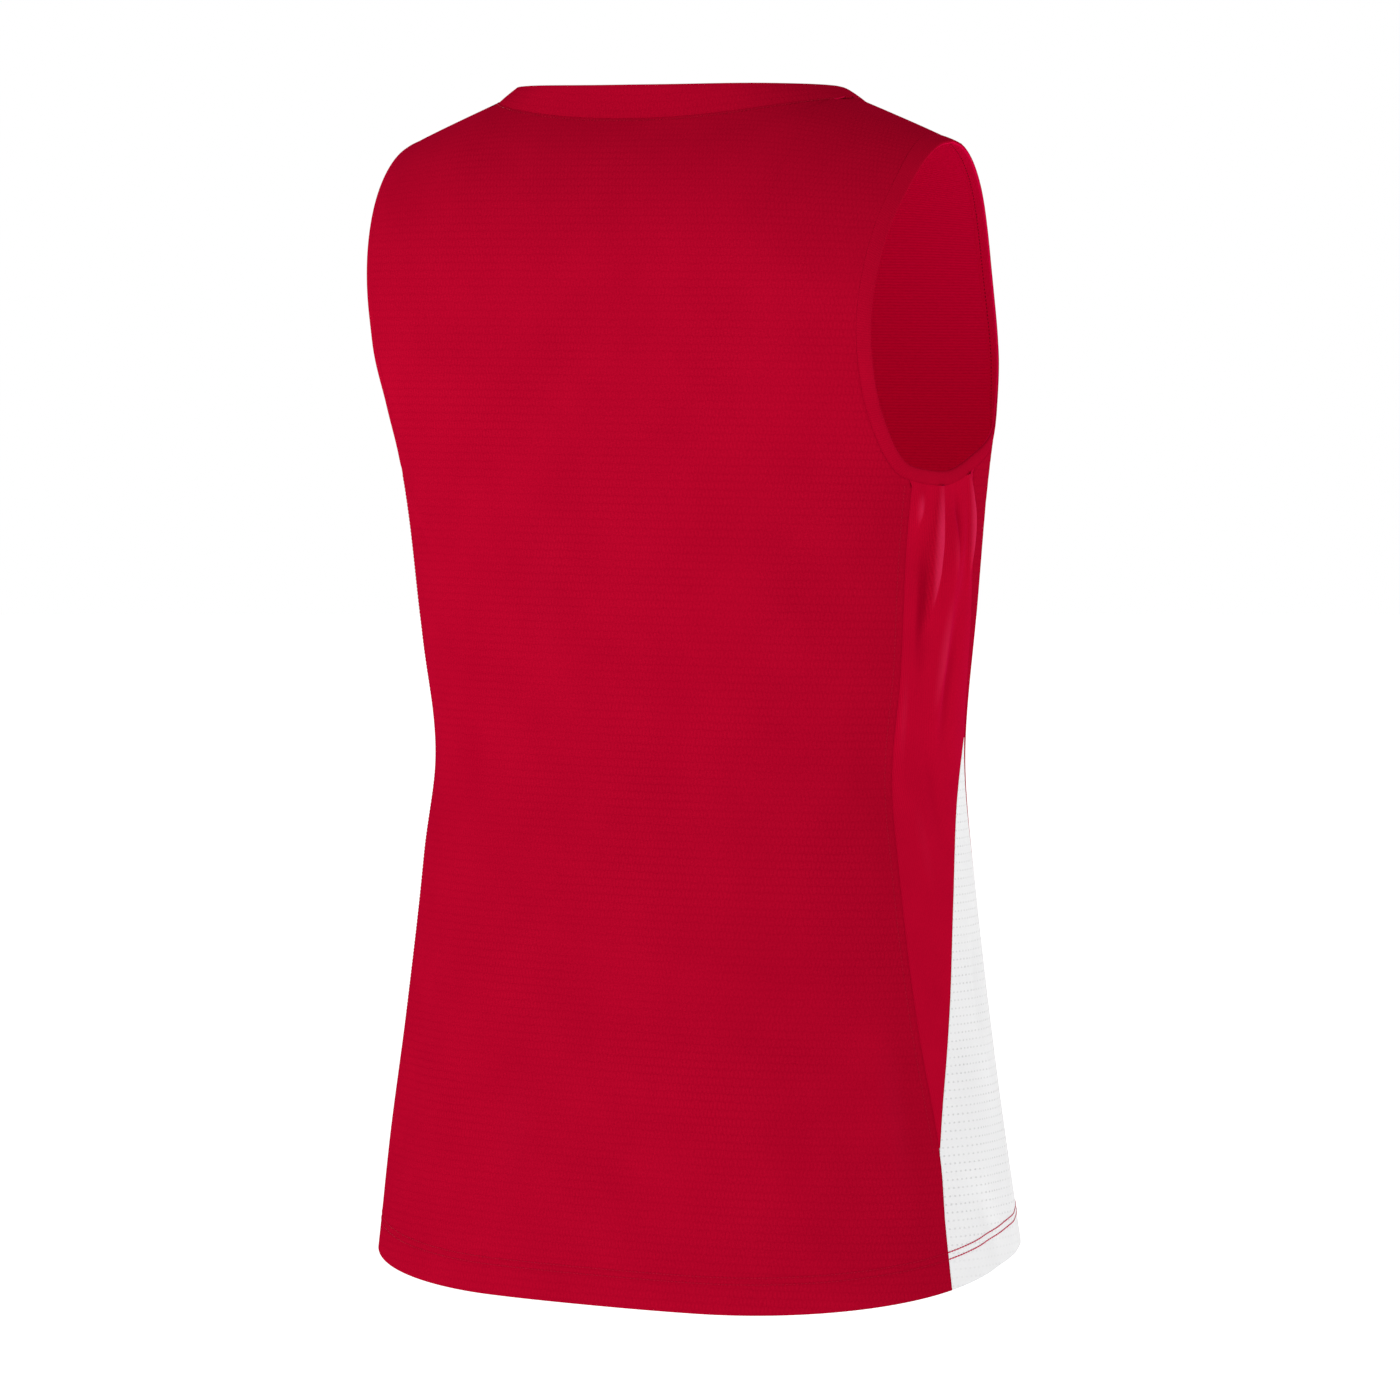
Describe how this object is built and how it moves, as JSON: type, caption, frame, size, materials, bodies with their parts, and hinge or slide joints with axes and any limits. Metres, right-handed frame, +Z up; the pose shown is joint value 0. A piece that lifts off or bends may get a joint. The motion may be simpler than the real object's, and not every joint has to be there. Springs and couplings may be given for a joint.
{
  "type": "basketball_jersey",
  "caption": "Red sleeveless mesh basketball jersey with white side wedges, filled out as if worn",
  "frame": {"origin": "on the line between the tops of the two shoulders, at the middle of the garment", "axes": "+Z up along the worn garment, the front faces -Y, +X is the wearer's left"},
  "size_m": [0.4376, 0.2744, 0.7713],
  "materials": {
    "red_mesh": "matte mesh knit",
    "red_smooth": "smooth knit with a soft sheen",
    "white_mesh": "matte mesh knit"
  },
  "bodies": {
    "root": {"back_panel": "red_mesh", "front_panel": "red_mesh", "side_panel_left": "red_smooth", "side_panel_right": "red_smooth", "wedge_left": "white_mesh", "wedge_right": "white_mesh", "neck_band": "red_mesh", "armhole_band_left": "red_smooth", "armhole_band_right": "red_smooth"}
  },
  "joints": []
}
